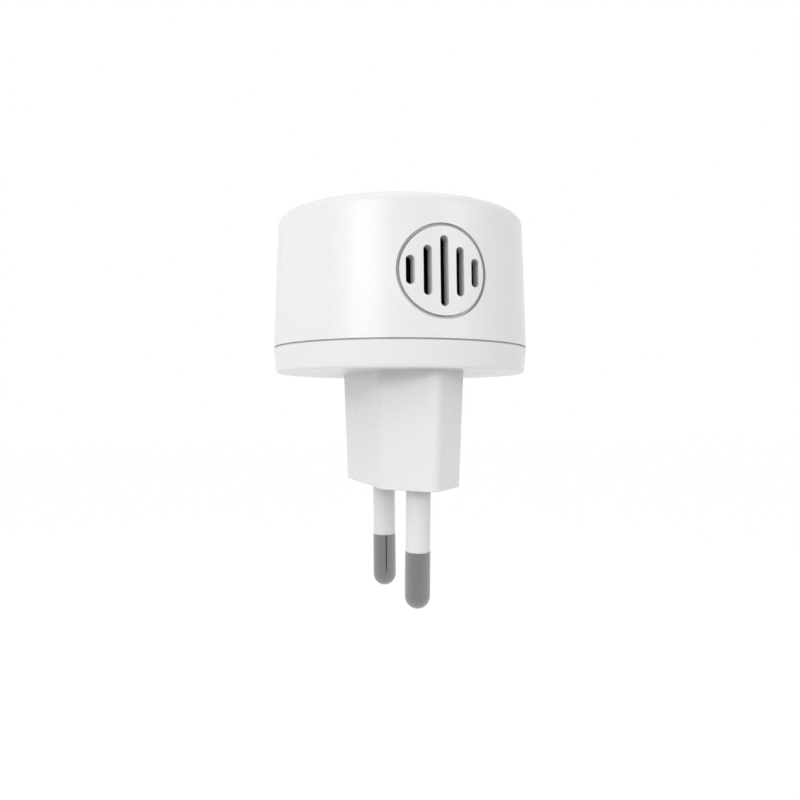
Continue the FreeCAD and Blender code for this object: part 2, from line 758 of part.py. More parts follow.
on_mouth(screen(), "transducer_screen")
cone_foot = "(cone_depth + cone_height)"
on_mouth(turned_body("resonator", [
    ("0", f"-{cone_foot}"),
    ("cone_neck_radius", f"-{cone_foot}"),
    ("cone_mouth_radius", "-cone_depth"),
    ("cone_mouth_radius - cone_wall", "-cone_depth"),
    ("cone_neck_radius - cone_wall / 2", f"-{cone_foot} + cone_wall"),
    ("0", f"-{cone_foot} + cone_wall"),
]), "transducer_cone")
on_mouth(turned_body("piezo", [
    ("0", f"-{PIEZO_BACK}"),
    ("piezo_radius", f"-{PIEZO_BACK}"),
    ("piezo_radius", f"-{PIEZO_FRONT}"),
    ("0", f"-{PIEZO_FRONT}"),
]), "piezo_disc")
base_rim = f"({CASE_BORE} - transducer_base_clearance)"
transducer_base = turned_body("transducer_base_turning", [
    ("0", f"-{TRANSDUCER_BASE_BACK}"),
    (base_rim, f"-{TRANSDUCER_BASE_BACK}"),
    (base_rim, f"-{TRANSDUCER_BASE_FRONT}"),
    ("pedestal_radius", f"-{TRANSDUCER_BASE_FRONT}"),
    ("pedestal_radius", f"-{PIEZO_BACK} - disc_gap"),
    ("0", f"-{PIEZO_BACK} - disc_gap"),
])
terminals = []
for side, sign in ((-1, "-"), (1, "")):
    away = f"{sign}terminal_spacing / 2"
    hole_radius = "terminal_radius + disc_gap"
    hole = cylinder(f"terminal_hole_{side + 2}", hole_radius, "case_length", x=away, z="-case_length")
    transducer_base = cut(f"transducer_base_less_{side + 2}", transducer_base, hole)
    terminal_foot = f"-{TRANSDUCER_BASE_FRONT} + disc_gap - terminal_length"
    terminal = cylinder(f"terminal_{side + 2}", "terminal_radius", "terminal_length", x=away, z=terminal_foot)
    terminals.append(terminal)
on_mouth(transducer_base, "transducer_base")
on_mouth(group("terminal_pair", terminals), "transducer_terminals")
holder_bore = "(case_radius + holder_clearance)"
holder_back = "(case_length + holder_clearance)"
on_mouth(turned_body("holder", [
    (holder_bore, "-transducer_gap"),
    (HOLDER_RADIUS, "-transducer_gap"),
    (HOLDER_RADIUS, f"-{holder_back} - holder_back_thickness"),
    ("holder_back_radius", f"-{holder_back} - holder_back_thickness"),
    ("holder_back_radius", f"-{holder_back}"),
    (holder_bore, f"-{holder_back}"),
]), "transducer_holder")


# Leads: a round wire along straight runs joined by tangent arcs.
def wire_path(points, share):
    """The runs between the points. Each corner becomes an arc that takes its share of the shorter run."""
    edges = []
    start = points[0]
    for before, corner, after in zip(points, points[1:], points[2:]):
        back = (before - corner).normalize()
        onward = (after - corner).normalize()
        reach = share * min((before - corner).Length, (after - corner).Length)
        half_turn = (math.pi - back.getAngle(onward)) / 2
        radius = reach / math.tan(half_turn)
        bisector = (back + onward).normalize()
        middle = corner + bisector * (math.hypot(radius, reach) - radius)
        edges.append(Part.LineSegment(start, corner + back * reach).toShape())
        edges.append(Part.Arc(corner + back * reach, middle, corner + onward * reach).toShape())
        start = corner + onward * reach
        print(f"bend radius {radius:.2f}")
    edges.append(Part.LineSegment(start, points[-1]).toShape())
    return Part.Wire(edges)


def lead(name, radius, route):
    """A lead whose route is a list of x, y, z expressions."""
    points = [Vector(*(value(number) for number in point)) for point in route]
    path = wire_path(points, value("lead_bend_share"))
    section = Part.Wire(Part.Circle(points[0], points[1] - points[0], value(radius)).toShape())
    thing = document.addObject("Part::Feature", name)
    thing.Shape = path.makePipeShell([section], True, False)
    expected = math.pi * value(radius) ** 2 * path.Length
    assert abs(thing.Shape.Volume - expected) < expected / 100, name
    return thing


signal_leads = []
for side, sign in ((-1, "-"), (1, "")):
    away = f"{sign}terminal_spacing / 2"
    signal_leads.append(lead(f"signal_lead_{side + 2}", "signal_lead_radius", [
        (away, TERMINAL_END, "grille_height"),
        (away, f"{TERMINAL_END} + signal_lead_run", "grille_height"),
        (away, SIGNAL_LANDING, "grille_height - signal_lead_run"),
        (away, SIGNAL_LANDING, BOARD_TOP),
    ]))
part(group("signal_lead_pair", signal_leads), "transducer_leads")

cup_floor = f"({FLANGE_SEAT} + pin_flange_thickness + pin_tail_length - pin_cup_depth)"
for name, sign in (("live_lead", ""), ("neutral_lead", "-")):
    foot = f"{sign}(pin_spacing / 2 + {PIN_SLOPE} * ({cup_floor} + pin_cup_depth / 2))"
    head = f"{sign}(pin_spacing / 2 - mains_lead_shift)"
    aside = f"{sign}mains_lead_shift"
    part(lead(name, "mains_lead_radius", [
        ("0", foot, f"{cup_floor} + sleeve_clearance"),
        ("0", foot, f"{cup_floor} + mains_lead_rise"),
        (aside, head, f"{BOARD_UNDER} - mains_lead_rise"),
        (aside, head, BOARD_UNDER),
    ]), name)


# Board parts: each stands on the board with legs through it, and the board is drilled round every leg.
board_drills = []


def leg(name, x, y, top, radius="leg_radius"):
    """A straight leg from the top level to just under the board, and the hole it needs."""
    foot = f"({BOARD_UNDER} - tail_below_board)"
    drill_foot = f"{BOARD_UNDER} - board_thickness"
    drill_radius = f"{radius} + leg_hole_clearance"
    board_drills.append(cylinder(f"{name}_hole", drill_radius, "board_thickness * 3", x=x, y=y, z=drill_foot))
    return cylinder(name, radius, f"{top} - {foot}", x=x, y=y, z=foot)


def legs(name, x, y, pitch, top, count=2, along="x"):
    """A row of legs centred on x, y."""
    row = []
    for number in range(count):
        shift = f"({number - (count - 1) / 2}) * {pitch}"
        across, back = (f"{x} + {shift}", y) if along == "x" else (x, f"{y} + {shift}")
        row.append(leg(f"{name}_leg_{number + 1}", across, back, top))
    return row


def component(name, pieces):
    return part(fused(f"{name}_solid", pieces), name)


LEG_TOP = f"({BOARD_TOP} + leg_root)"


def soft_block(name, x, y, rounding):
    """A moulded block on the board, upright and top edges rounded: its sizes come from its name."""
    raw = block(f"{name}_raw", f"{name}_length", f"{name}_width", f"{name}_height", x=x, y=y, z=BOARD_TOP)
    foot = value(BOARD_TOP)
    return rounded(f"{name}_block", raw, rounding, lambda edge: not level(edge, foot))


component("dropper_capacitor", [
    soft_block("dropper", "0", "dropper_y", "moulding_rounding"),
    *legs("dropper", "0", "dropper_y", "dropper_pitch", LEG_TOP),
])
component("output_capacitor", [
    soft_block("output", "output_x", "output_y", "moulding_rounding"),
    *legs("output", "output_x", "output_y", "output_pitch", LEG_TOP),
])

can = cylinder("can", "bulk_radius", "bulk_height", x="bulk_x", y="bulk_y", z=BOARD_TOP)
can_top = value(f"{BOARD_TOP} + bulk_height")
can_rounded = rounded("can_rounded", can, "moulding_rounding", lambda edge: level(edge, can_top))
neck_ring = "bulk_radius + bulk_neck_depth / 2"
neck_level = f"{BOARD_TOP} + bulk_neck_height"
neck = torus("neck", neck_ring, "bulk_neck_depth", x="bulk_x", y="bulk_y", z=neck_level)
component("bulk_capacitor", [
    cut("can_necked", can_rounded, neck),
    *legs("bulk", "bulk_x", "bulk_y", "bulk_pitch", LEG_TOP),
])

varistor_centre = f"({BOARD_TOP} + varistor_stand + varistor_radius)"
disc_raw = cylinder(
    "varistor_raw", "varistor_radius", "varistor_thickness", x="varistor_x - varistor_thickness / 2",
    y="varistor_y", z=varistor_centre, axis=(0, 1, 0), angle="90",
)
component("varistor", [
    rounded("varistor_disc", disc_raw, "varistor_rounding", lambda edge: edge.Closed),
    *legs("varistor", "varistor_x", "varistor_y", "varistor_pitch", varistor_centre, along="y"),
])


def axial(name, x, y, along, radius, stand, caps=()):
    """A body lying on its wire, which bends down at both ends: its sizes come from its name."""
    height = f"({BOARD_TOP} + {stand} + {radius})"
    turn = {"axis": (0, 1, 0), "angle": "90"} if along == "x" else {"axis": (-1, 0, 0), "angle": "90"}

    def lying(label, size, length, shift):
        where = {"x": x, "y": y, "z": height}
        where[along] = f"{where[along]} + {shift} - ({length}) / 2"
        return cylinder(label, size, length, **where, **turn)

    pieces = [
        lying(f"{name}_body", f"{name}_radius", f"{name}_length", "0"),
        lying(f"{name}_wire", "leg_radius", f"{name}_pitch", "0"),
        *legs(name, x, y, f"{name}_pitch", height, along=along),
    ]
    for number in (-1, 1):
        where = {"x": x, "y": y, "z": height}
        where[along] = f"{where[along]} + {number} * {name}_pitch / 2"
        pieces.append(sphere(f"{name}_bend_{number + 2}", "leg_radius", **where))
        for cap_radius, cap_length in caps:
            shift = f"{number} * ({name}_length - {cap_length}) / 2"
            pieces.append(lying(f"{name}_cap_{number + 2}", cap_radius, cap_length, shift))
    return pieces


fuse_caps = [("fuse_cap_radius", "fuse_cap_length")]
fuse_pieces = axial("fuse", "fuse_x", "fuse_y", "y", "fuse_cap_radius", "fuse_stand", fuse_caps)
component("fusible_resistor", fuse_pieces)
component("zener_diode", axial("zener", "zener_x", ZENER_Y, "x", "zener_radius", "zener_stand"))

bridge_feet = []
for number, (side, end) in enumerate(((-1, -1), (-1, 1), (1, -1), (1, 1))):
    bridge_feet.append(block(
        f"bridge_foot_{number + 1}",
        "bridge_foot_reach * 2",
        "bridge_foot_width",
        "chip_lead_thickness",
        x=f"bridge_x + {side} * bridge_length / 2",
        y=f"bridge_y + {end} * bridge_foot_pitch / 2",
        z=BOARD_TOP,
    ))
component("bridge_rectifier", [
    soft_block("bridge", "bridge_x", "bridge_y", "chip_rounding"),
    *bridge_feet,
])


def chip_lead(number, column, side):
    """One lead: a shoulder out of the body, a riser down and a foot on the board."""
    x = f"{column} * chip_lead_pitch"
    away = "(chip_width / 2 + chip_lead_reach - chip_lead_foot)"
    riser_height = "chip_height / 2 + chip_lead_thickness"
    shoulder_level = f"{BOARD_TOP} + chip_height / 2"
    pieces = (
        ("shoulder", away, "chip_lead_thickness", f"{away} / 2", shoulder_level),
        ("riser", "chip_lead_thickness", riser_height, away, BOARD_TOP),
        ("foot", "chip_lead_foot", "chip_lead_thickness", f"({away} + chip_lead_foot / 2)", BOARD_TOP),
    )
    return [
        block(f"chip_{name}_{number}", "chip_lead_width", width, height, x, f"chip_y + {side} * {back}", z)
        for name, width, height, back, z in pieces
    ]


chip_pieces = [soft_block("chip", "0", "chip_y", "chip_rounding")]
for column in range(-3, 4):
    for side in (-1, 1):
        chip_pieces += chip_lead(2 * column + 8 + (side > 0), column, side)
component("controller_chip", chip_pieces)

transistors = []
for number in (-1, 1):
    y = f"(transistor_y + {number} * transistor_spacing / 2)"
    name = f"transistor_{number + 2}"
    foot = f"({BOARD_TOP} + transistor_stand)"
    height = "transistor_height"
    round_body = cylinder(f"{name}_round", "transistor_radius", height, x="transistor_x", y=y, z=foot)
    beyond = "transistor_x + transistor_flat + transistor_radius"
    across = "transistor_radius * 3"
    flat = block(f"{name}_flat", "transistor_radius * 2", across, height, beyond, y, foot)
    body = cut(f"{name}_body", round_body, flat)
    feet = legs(name, "transistor_x", y, "transistor_pitch", f"{foot} + leg_root", count=3, along="y")
    transistors.append(fused(f"{name}_solid", [body, *feet]))
part(group("transistor_pair", transistors), "driver_transistors")

# Step-up coil: a ferrite bobbin with the winding between its flanges.
lower_flange = "coil_flange_thickness"
upper_flange = "(coil_height - coil_flange_thickness)"
bobbin = place(turned_body("bobbin", [
    ("0", "0"),
    ("coil_flange_radius", "0"),
    ("coil_flange_radius", lower_flange),
    ("coil_core_radius", lower_flange),
    ("coil_core_radius", upper_flange),
    ("coil_flange_radius", upper_flange),
    ("coil_flange_radius", "coil_height"),
    ("0", "coil_height"),
]), x="coil_x", y="coil_y", z=BOARD_TOP)
component("coil_core", [bobbin, *legs("coil", "coil_x", "coil_y", "coil_pitch", LEG_TOP)])
part(place(turned_body("winding", [
    ("coil_core_radius + coil_clearance", f"{lower_flange} + coil_clearance"),
    ("coil_winding_radius", f"{lower_flange} + coil_clearance"),
    ("coil_winding_radius", f"{upper_flange} - coil_clearance"),
    ("coil_core_radius + coil_clearance", f"{upper_flange} - coil_clearance"),
]), x="coil_x", y="coil_y", z=BOARD_TOP), "coil_winding")

small_parts = []
for row in range(4):
    for column in range(-2, 3):
        small_parts.append(block(
            f"small_part_{5 * row + column + 3}",
            "small_part_length",
            "small_part_width",
            "small_part_height",
            x=f"{column} * small_part_pitch_across",
            y=f"{ZENER_Y} - small_part_start - {row} * small_part_pitch_along",
            z=BOARD_TOP,
        ))
part(group("small_part_group", small_parts), "chip_parts")

# Power light on the board, and the clear guide that carries it to the top.
led_foot = f"({BOARD_TOP} + led_stand)"
LED_TOP = f"({led_foot} + led_height + led_radius)"
component("indicator_led", [
    cylinder("led_flange", "led_flange_radius", "led_flange_height", z=led_foot),
    cylinder("led_barrel", "led_radius", "led_height", z=led_foot),
    sphere("led_dome", "led_radius", z=f"{led_foot} + led_height"),
    *legs("led", "0", "0", "led_pitch * 2", f"{led_foot} + leg_root"),
])
guide_foot = f"({LED_TOP} + guide_gap)"
flange_foot = f"{CEILING} - guide_flange_thickness"
component("light_guide", [
    cylinder("guide_rod", "guide_radius", f"overall_height - {guide_foot}", z=guide_foot),
    cylinder("guide_flange", "guide_flange_radius", "guide_flange_thickness", z=flange_foot),
])

# Main board: a disc inside the lip, drilled for the legs and the two screws.
board = cylinder("board", BOARD_RADIUS, "board_thickness", z=BOARD_UNDER)
for side, sign in ((-1, "-"), (1, "")):
    board_drills.append(cylinder(
        f"board_screw_way_{side + 2}", SCREW_HOLE, "board_thickness * 3",
        x=f"{sign}board_screw_offset", z=f"{BOARD_UNDER} - board_thickness",
    ))
part(cut("board_drilled", board, fused("board_drill_set", board_drills)), "main_board")
screw_pair("board_screws", "board_screw_length", x="board_screw_offset", z=BOARD_TOP, normal=(1, 0, 0))

# Every object is sound and every piece is a valid shape before anything is written.
document.recompute()
for thing in document.Objects:
    if "Invalid" in thing.State or "Error" in thing.State:
        raise RuntimeError(f"{thing.Name} could not be built")
os.makedirs("parts", exist_ok=True)
for thing in parts:
    if thing.Shape.isNull() or not thing.Shape.isValid():
        raise RuntimeError(f"{thing.Label} has no valid shape")
    thing.Shape.exportStep(f"parts/{thing.Label}.step")
    print(thing.Label, len(thing.Shape.Solids), round(thing.Shape.Volume, 3))
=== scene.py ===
"""Finishes, studio and camera for a round plug-in ultrasonic pest repeller.

The body is moulded in gloss white plastic, with a slotted sound grille let into its side, a flat
two-pin mains plug under it and, inside, a small circuit board that drives an ultrasonic sounder.
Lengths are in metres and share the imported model's frame: the plug's end face is at height zero,
the pins point down and the grille faces the front.
"""
import math

import bpy
import numpy as np
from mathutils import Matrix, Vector


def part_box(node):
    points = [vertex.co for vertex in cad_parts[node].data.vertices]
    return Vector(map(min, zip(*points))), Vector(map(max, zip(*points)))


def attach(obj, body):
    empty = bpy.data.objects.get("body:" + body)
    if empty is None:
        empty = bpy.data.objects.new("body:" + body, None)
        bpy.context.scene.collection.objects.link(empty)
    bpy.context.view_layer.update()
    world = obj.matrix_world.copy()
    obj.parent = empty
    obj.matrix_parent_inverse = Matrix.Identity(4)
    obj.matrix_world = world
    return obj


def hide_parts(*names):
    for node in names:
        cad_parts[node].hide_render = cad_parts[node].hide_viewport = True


MM = 0.001
MICRON = 1e-6
WHITE = (1.0, 1.0, 1.0)
TIN = (0.62, 0.61, 0.58)

# The Mix node has one pair of inputs for each kind of value.
MIX_NUMBERS = (2, 3)
MIX_COLOURS = (6, 7)
MIXED_NUMBER = 0
MIXED_COLOUR = 2

# A Wave texture at scale 1 has its lines this far apart.
WAVE_PITCH = math.tau / 20

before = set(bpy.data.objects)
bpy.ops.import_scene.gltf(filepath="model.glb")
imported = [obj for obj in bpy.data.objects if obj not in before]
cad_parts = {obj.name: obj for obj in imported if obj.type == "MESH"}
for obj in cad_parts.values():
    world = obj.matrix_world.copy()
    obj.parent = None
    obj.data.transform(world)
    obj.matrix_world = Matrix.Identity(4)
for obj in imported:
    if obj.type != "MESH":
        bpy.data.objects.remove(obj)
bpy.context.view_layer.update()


# ---------------------------------------------------------------- material building blocks


class Finish:
    """A surface finish: one principled shader, and the texture nodes that vary it."""

    def __init__(self, name, roughness, metallic=0.0, ior=1.5, **fixed):
        self.material = bpy.data.materials.new(name)
        self.material.use_nodes = True
        self.tree = self.material.node_tree
        self.shader = self.tree.nodes["Principled BSDF"]
        self.shader.inputs["Roughness"].default_value = roughness
        self.shader.inputs["Metallic"].default_value = metallic
        self.shader.inputs["IOR"].default_value = ior
        for socket, value in fixed.items():
            self.shader.inputs[socket.replace("_", " ")].default_value = value
        self.place = self.add("ShaderNodeTexCoord").outputs["Object"]
        self.height = None

    def add(self, kind, **settings):
        """A node of that kind; settings name its options."""
        node = self.tree.nodes.new(kind)
        for option, value in settings.items():
            setattr(node, option, value)
        return node

    def join(self, source, target):
        """Link a source to a socket, or write a plain number there."""
        if isinstance(source, (int, float)):
            target.default_value = source
        else:
            self.tree.links.new(source, target)

    def sum(self, operation, one, other=0.0):
        """One arithmetic step on two sources or numbers."""
        node = self.add("ShaderNodeMath", operation=operation)
        self.join(one, node.inputs[0])
        self.join(other, node.inputs[1])
        return node.outputs[0]

    def spread(self, stretch=(1, 1, 1), turn=0.0, centre=(0, 0, 0)):
        """Object coordinates about a centre, turned about Z and drawn out by stretch."""
        moved = self.add("ShaderNodeVectorMath", operation="SUBTRACT")
        self.join(self.place, moved.inputs[0])
        moved.inputs[1].default_value = centre
        node = self.add("ShaderNodeMapping")
        node.inputs["Scale"].default_value = [1 / s for s in stretch]
        node.inputs["Rotation"].default_value = (0, 0, math.radians(turn))
        self.join(moved.outputs[0], node.inputs["Vector"])
        return node.outputs["Vector"]

    def along(self, axis):
        """The coordinate along one axis."""
        node = self.add("ShaderNodeSeparateXYZ")
        self.join(self.place, node.inputs[0])
        return node.outputs[axis]

    def off_axis(self, axis, centre):
        """The distance from the line through centre along that axis."""
        keep = [0.0 if letter == axis else 1.0 for letter in "XYZ"]
        flat = self.add("ShaderNodeVectorMath", operation="MULTIPLY")
        self.join(self.spread(centre=centre), flat.inputs[0])
        flat.inputs[1].default_value = keep
        length = self.add("ShaderNodeVectorMath", operation="LENGTH")
        self.join(flat.outputs[0], length.inputs[0])
        return length.outputs["Value"]

    def noise(self, size, detail=2.0, stretch=(1, 1, 1)):
        """Soft random blotches of about that size, drawn out along the axes by stretch."""
        node = self.add("ShaderNodeTexNoise")
        node.inputs["Scale"].default_value = 1 / size
        node.inputs["Detail"].default_value = detail
        self.join(self.spread(stretch), node.inputs["Vector"])
        return node.outputs["Fac"]

    def cells(self, size, stretch=(1, 1, 1)):
        """Rounded grains of about that size."""
        node = self.add("ShaderNodeTexVoronoi", feature="SMOOTH_F1")
        node.inputs["Scale"].default_value = 1 / size
        self.join(self.spread(stretch), node.inputs["Vector"])
        return node.outputs["Distance"]

    def lines(self, pitch, axis="Z", waver=0.0):
        """Fine lines a pitch apart along an axis, as a lathe or a drawing die leaves them."""
        node = self.add("ShaderNodeTexWave", wave_profile="SIN", bands_direction=axis)
        node.inputs["Scale"].default_value = WAVE_PITCH / pitch
        node.inputs["Distortion"].default_value = waver
        self.join(self.place, node.inputs["Vector"])
        return node.outputs["Fac"]

    def ranged(self, source, low, high, start=0.3, end=0.7):
        """The source's start to end range carried onto low to high."""
        node = self.add("ShaderNodeMapRange", clamp=True)
        node.inputs["From Min"].default_value = start
        node.inputs["From Max"].default_value = end
        node.inputs["To Min"].default_value = low
        node.inputs["To Max"].default_value = high
        self.join(source, node.inputs["Value"])
        return node.outputs["Result"]

    def beyond(self, source, level, soft=0.02 * MM):
        """0 below the level, 1 above it."""
        return self.ranged(source, 0.0, 1.0, level - soft / 2, level + soft / 2)

    def below(self, source, level, soft=0.02 * MM):
        """1 below the level, 0 above it."""
        return self.ranged(source, 1.0, 0.0, level - soft / 2, level + soft / 2)

    def blend(self, share, one, other):
        """One colour where share is 0 and the other where it is 1."""
        node = self.add("ShaderNodeMix", data_type="RGBA")
        self.join(share, node.inputs["Factor"])
        for number, colour in zip(MIX_COLOURS, (one, other)):
            if isinstance(colour, tuple):
                node.inputs[number].default_value = (*colour, 1)
            else:
                self.join(colour, node.inputs[number])
        return node.outputs[MIXED_COLOUR]

    def colour(self, source):
        """The surface's colour."""
        self.join(source, self.shader.inputs["Base Color"])

    def shine(self, source, low, high):
        """Roughness that runs from low to high over the middle of the source's range."""
        self.join(self.ranged(source, low, high), self.shader.inputs["Roughness"])

    def relief(self, source, depth, strength=1.0):
        """Bump of that depth in metres; calls stack, the coarsest first."""
        node = self.add("ShaderNodeBump")
        node.inputs["Distance"].default_value = depth
        node.inputs["Strength"].default_value = strength
        self.join(source, node.inputs["Height"])
        if self.height is not None:
            self.join(self.height, node.inputs["Normal"])
        self.height = node.outputs["Normal"]
        self.join(self.height, self.shader.inputs["Normal"])

    def plate(self, mask, colour=TIN, roughness=0.28):
        """Bright metal where the mask is 1, over what the finish has so far."""
        under = self.shader.inputs["Base Color"].links[0].from_socket
        flecked = self.blend(self.noise(0.3 * MM), tuple(0.9 * c for c in colour), colour)
        self.colour(self.blend(mask, under, flecked))
        for name, value in (("Roughness", roughness), ("Metallic", 1.0)):
            socket = self.shader.inputs[name]
            under = socket.links[0].from_socket if socket.links else socket.default_value
            node = self.add("ShaderNodeMix", data_type="FLOAT")
            self.join(mask, node.inputs["Factor"])
            for number, side in zip(MIX_NUMBERS, (under, value)):
                self.join(side, node.inputs[number])
            self.join(node.outputs[MIXED_NUMBER], socket)


def shades(colour, spread):
    """A slightly deeper and a slightly paler version of a colour."""
    deep = tuple(c * (1 - spread) for c in colour)
    pale = tuple(min(1.0, c * (1 + spread)) for c in colour)
    return deep, pale


def moulded(name, colour, roughness, grain=0.06 * MM, depth=0.04 * MICRON, mottling=0.01, **fixed):
    """Moulded plastic: faint mottling of the pigment, and the fine texture of a polished tool."""
    made = Finish(name, roughness, ior=1.52, **fixed)
    deep, pale = shades(colour, mottling)
    made.colour(made.blend(made.noise(0.5 * MM, 4.0), deep, pale))
    made.shine(made.noise(0.2 * MM), roughness * 0.97, roughness * 1.03)
    made.relief(made.cells(grain), depth)
    return made


def metal(name, colour, roughness, spread=0.04, **fixed):
    """Bare or plated metal with slight blotches in its colour and shine."""
    made = Finish(name, roughness, metallic=1.0, **fixed)
    deep, pale = shades(colour, spread)
    made.colour(made.blend(made.ranged(made.noise(1.5 * MM, 3.0), 0, 1), deep, pale))
    made.shine(made.noise(0.7 * MM), roughness * 0.8, roughness * 1.2)
    return made


def dress(finish, *nodes):
    """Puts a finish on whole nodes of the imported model."""
    for node in nodes:
        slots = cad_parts[node].material_slots
        if not slots:
            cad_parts[node].data.materials.append(finish.material)
        for slot in slots:
            slot.material = finish.material


def middle(node):
    """The centre of a node's box, in metres."""
    low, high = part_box(node)
    return tuple((a + b) / 2 for a, b in zip(low, high))


# ---------------------------------------------------------------- outside finishes

housing_white = moulded("housing_white", (0.85, 0.85, 0.85), 0.27)
dress(housing_white, "housing_cover", "base_shell")

grille_white = moulded("grille_white", (0.84, 0.84, 0.84), 0.3)
dress(grille_white, "grille_insert")

# Sleeves: satin insulation, drawn out along the pin.
sleeve_white = moulded("sleeve_white", (0.83, 0.83, 0.82), 0.45, depth=0.3 * MICRON)
sleeve_white.relief(sleeve_white.noise(0.25 * MM, stretch=(1, 1, 8)), 0.4 * MICRON)
dress(sleeve_white, "live_pin_sleeve", "neutral_pin_sleeve")

# Pins: nickel plate over faint lathe rings. Its colour is painted paler where the plate turns away,
# a painted reflection that brightens the edges.
pin_nickel = metal("pin_nickel", (0.215, 0.213, 0.209), 0.12, 0.02)
painted_sheen_facing = pin_nickel.add("ShaderNodeLayerWeight").outputs["Facing"]
plate_colour = pin_nickel.shader.inputs["Base Color"].links[0].from_socket
# Painted reflection: the plate colour is blended to a paler grey toward grazing angles.
pin_nickel.colour(pin_nickel.blend(painted_sheen_facing, plate_colour, (0.39, 0.386, 0.378)))
pin_nickel.relief(pin_nickel.lines(0.06 * MM, waver=0.4), 0.3 * MICRON)
dress(pin_nickel, "live_pin", "neutral_pin")

# ---------------------------------------------------------------- finishes inside

board_low, board_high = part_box("main_board")
BOARD_TOP = board_high[2]

# Sounder: a drawn can with brushing round it, a pierced screen, a silvered ceramic disc.
grille_axis = middle("transducer_case")
transducer_aluminium = metal("transducer_aluminium", (0.7, 0.71, 0.72), 0.34)
transducer_aluminium.relief(transducer_aluminium.lines(0.05 * MM, "Y", 0.6), 0.8 * MICRON)
dress(transducer_aluminium, "transducer_case", "transducer_cone")

screen_steel = metal("screen_steel", (0.5, 0.5, 0.5), 0.36)
screen_steel.relief(screen_steel.noise(0.2 * MM, stretch=(6, 1, 1)), 1 * MICRON)
dress(screen_steel, "transducer_screen")

piezo_low, piezo_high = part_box("piezo_disc")
piezo_ceramic = moulded(
    "piezo_ceramic", (0.62, 0.56, 0.42), 0.7, grain=0.03 * MM, depth=1 * MICRON, mottling=0.06,
)
silver_radius = 0.45 * (piezo_high[0] - piezo_low[0])
silvered = piezo_ceramic.below(piezo_ceramic.off_axis("Y", grille_axis), silver_radius)
piezo_ceramic.plate(silvered, (0.78, 0.77, 0.74), 0.38)
dress(piezo_ceramic, "piezo_disc")

holder_rubber = moulded(
    "holder_rubber", (0.035, 0.035, 0.036), 0.78, depth=1 * MICRON, mottling=0.1,
)
holder_rubber.relief(holder_rubber.noise(0.15 * MM, 4.0), 6 * MICRON)
dress(holder_rubber, "transducer_holder")

tinned_metal = metal("tinned_metal", TIN, 0.26)
tinned_metal.relief(tinned_metal.noise(0.5 * MM), 6 * MICRON)
dress(tinned_metal, "transducer_terminals")

retainer_grey = moulded("retainer_grey", (0.3, 0.3, 0.31), 0.5, depth=0.6 * MICRON)
dress(retainer_grey, "pin_retainer")

screw_steel = metal("screw_steel", (0.55, 0.55, 0.57), 0.3)
screw_steel.relief(screw_steel.lines(0.45 * MM), 20 * MICRON, 0.6)
dress(screw_steel, "board_screws", "retainer_screws")


def insulation(name, colour):
    """Soft wire covering: slightly uneven along its length, with a fine matt skin."""
    made = moulded(name, colour, 0.48, depth=0.4 * MICRON, mottling=0.08)
    made.relief(made.noise(1.2 * MM), 12 * MICRON)
    return made


dress(insulation("lead_red", (0.42, 0.02, 0.015)), "transducer_leads")
dress(insulation("lead_brown", (0.1, 0.035, 0.015)), "live_lead")
dress(insulation("lead_blue", (0.02, 0.09, 0.42)), "neutral_lead")


def laminate():
    """Paper laminate: buff top, sawn edge, and etched copper islands below under clear lacquer."""
    made = Finish("board_laminate", 0.42)
    stain = made.ranged(made.noise(3 * MM, 4.0), 0, 1)
    buff = made.blend(stain, (0.3, 0.2, 0.075), (0.42, 0.3, 0.12))
    radius = (board_high[0] - board_low[0]) / 2
    sawn = made.beyond(made.off_axis("Z", middle("main_board")), radius - 0.03 * MM)
    fibres = made.ranged(made.noise(0.3 * MM, 3.0, stretch=(4, 4, 0.4)), 0, 1)
    cut_edge = made.blend(fibres, (0.42, 0.32, 0.18), (0.55, 0.44, 0.27))
    islands = made.add("ShaderNodeTexVoronoi", feature="DISTANCE_TO_EDGE")
    islands.inputs["Scale"].default_value = 1 / (5 * MM)
    islands.inputs["Randomness"].default_value = 0.7
    made.join(made.spread(stretch=(1.5, 1, 1e6), turn=20), islands.inputs["Vector"])
    etched = made.beyond(islands.outputs["Distance"], 0.05, 0.02)
    under = made.below(made.along("Z"), board_low[2] + 0.01 * MM)
    copper = made.sum("MULTIPLY", etched, under)
    made.colour(made.blend(sawn, made.blend(copper, buff, (0.42, 0.17, 0.06)), cut_edge))
    made.shine(made.noise(1.5 * MM), 0.36, 0.5)
    made.relief(made.noise(0.35 * MM, 3.0, stretch=(3, 1, 1)), 4 * MICRON)
    made.relief(copper, 35 * MICRON)
    return made


dress(laminate(), "main_board")


def on_legs(made, level):
    """Bright tinned legs under a component's body, whose foot is at that level."""
    made.plate(made.below(made.along("Z"), level))
    return made


# Box capacitors: lacquered film blocks with a glossy dipped skin.
film_yellow = moulded("film_yellow", (0.72, 0.47, 0.03), 0.33, depth=0.5 * MICRON, mottling=0.05)
film_yellow.relief(film_yellow.noise(1.6 * MM), 10 * MICRON)
dress(on_legs(film_yellow, BOARD_TOP), "dropper_capacitor")
film_red = moulded("film_red", (0.42, 0.045, 0.02), 0.3, depth=0.5 * MICRON, mottling=0.06)
film_red.relief(film_red.noise(1.1 * MM), 14 * MICRON)
dress(on_legs(film_red, BOARD_TOP), "output_capacitor")


